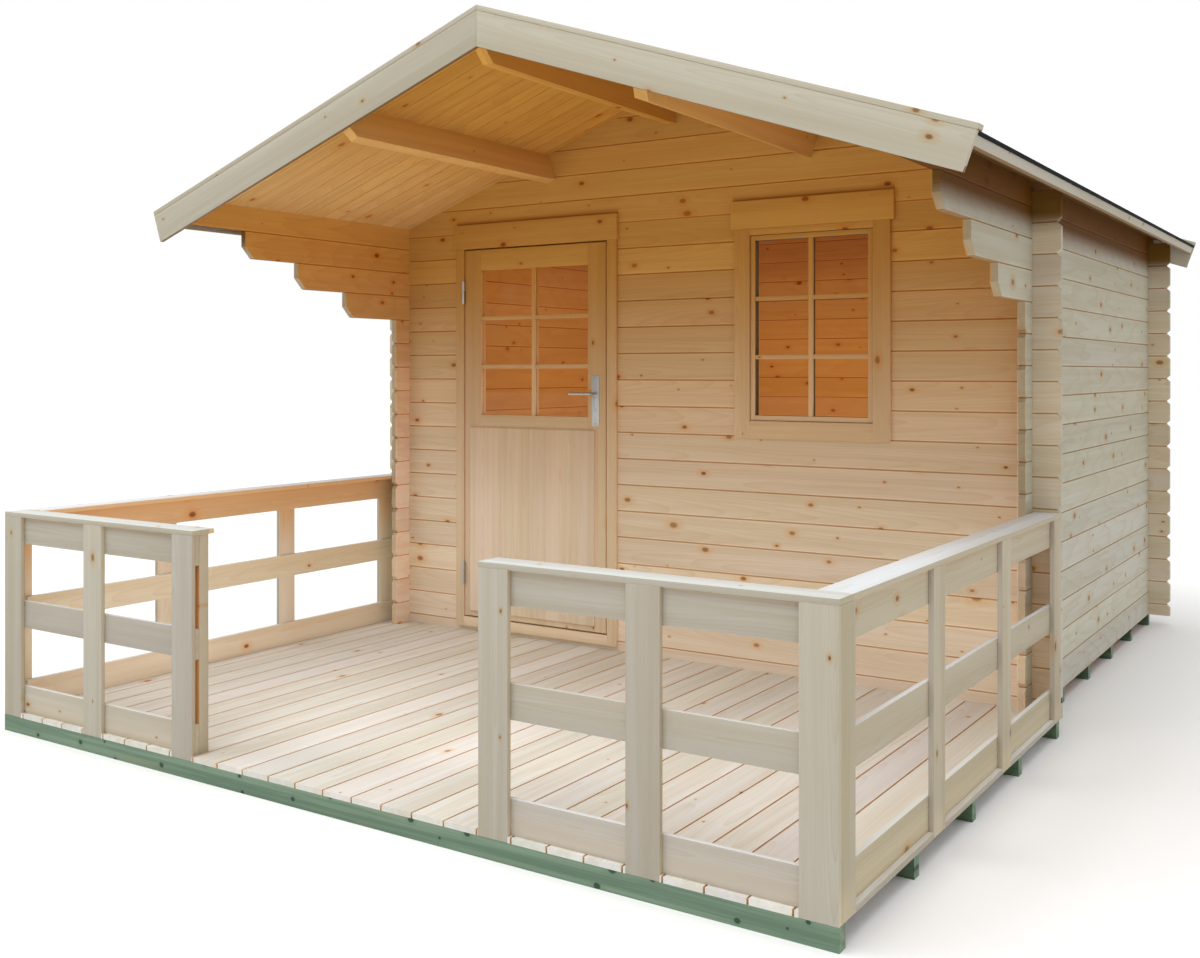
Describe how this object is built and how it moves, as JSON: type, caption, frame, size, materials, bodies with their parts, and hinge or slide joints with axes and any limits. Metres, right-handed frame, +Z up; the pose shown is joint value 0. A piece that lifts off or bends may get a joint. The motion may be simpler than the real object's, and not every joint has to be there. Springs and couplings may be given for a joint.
{
  "type": "garden house",
  "caption": "Small log cabin with gable roof over a railed timber terrace, a half-glazed hinged door and a barred window, on ground bearers.",
  "frame": {"origin": "on the ground under the middle of the whole building, terrace and roof included", "axes": "+X to the right seen from the terrace, +Y from the terrace to the rear wall, +Z up"},
  "size_m": [3.4, 4.678, 2.5742],
  "materials": {
    "log_wood": "planed raw spruce logs",
    "roof_wood": "planed raw spruce boards",
    "trim_wood": "planed raw spruce",
    "joinery_wood": "sanded raw spruce",
    "deck_wood": "planed raw spruce",
    "railing_wood": "planed raw spruce",
    "treated_wood": "green pressure-treated",
    "roofing_felt": "sanded bitumen felt",
    "pane": "clear",
    "satin_metal": "satin"
  },
  "bodies": {
    "house": {"front_wall_left": "log_wood", "threshold_log": "log_wood", "front_wall_middle": "log_wood", "front_wall_under_window": "log_wood", "front_wall_right": "log_wood", "front_gable": "log_wood", "rear_wall": "log_wood", "rear_gable": "log_wood", "left_wall": "log_wood", "right_wall": "log_wood", "ridge_purlin": "log_wood", "left_purlin": "log_wood", "right_purlin": "log_wood", "roof_boards_left": "roof_wood", "roof_boards_right": "roof_wood", "front_barge_left": "trim_wood", "front_barge_right": "trim_wood", "rear_barge_left": "trim_wood", "rear_barge_right": "trim_wood", "front_barge_caps": "trim_wood", "rear_barge_caps": "trim_wood", "eave_fascia_left": "trim_wood", "eave_fascia_right": "trim_wood", "door_trim": "trim_wood", "door_frame": "trim_wood", "window_trim": "trim_wood", "window_frame": "trim_wood", "deck_boards": "deck_wood", "floor_boards": "deck_wood", "railing_front_left": "railing_wood", "railing_front_right": "railing_wood", "railing_left": "railing_wood", "railing_right": "railing_wood", "handrail_front_left": "railing_wood", "handrail_front_right": "railing_wood", "handrail_left": "railing_wood", "handrail_right": "railing_wood", "terrace_bearers": "treated_wood", "house_bearers": "treated_wood", "roof_felt_left": "roofing_felt", "roof_felt_right": "roofing_felt", "window_glass": "pane", "door_hinge_pins": "satin_metal"},
    "door": {"door_leaf": "joinery_wood", "door_panel": "joinery_wood", "door_glass": "pane", "handle_plates": "satin_metal", "door_hinge_knuckles": "satin_metal"},
    "lever": {"door_lever": "satin_metal"}
  },
  "joints": [
    {"name": "door_hinge", "type": "hinge", "parent": "house", "child": "door", "pos_m": [-1.113, -0.235, 1.018], "axis": [0, 0, -1], "range_deg": [0, 110]},
    {"name": "lever_spindle", "type": "hinge", "parent": "door", "child": "lever", "pos_m": [-0.3715, -0.205, 1.212], "axis": [0, -1, 0], "range_deg": [0, 40], "stiffness_Nm_per_rad": 1, "springref_deg": -34.38}
  ]
}
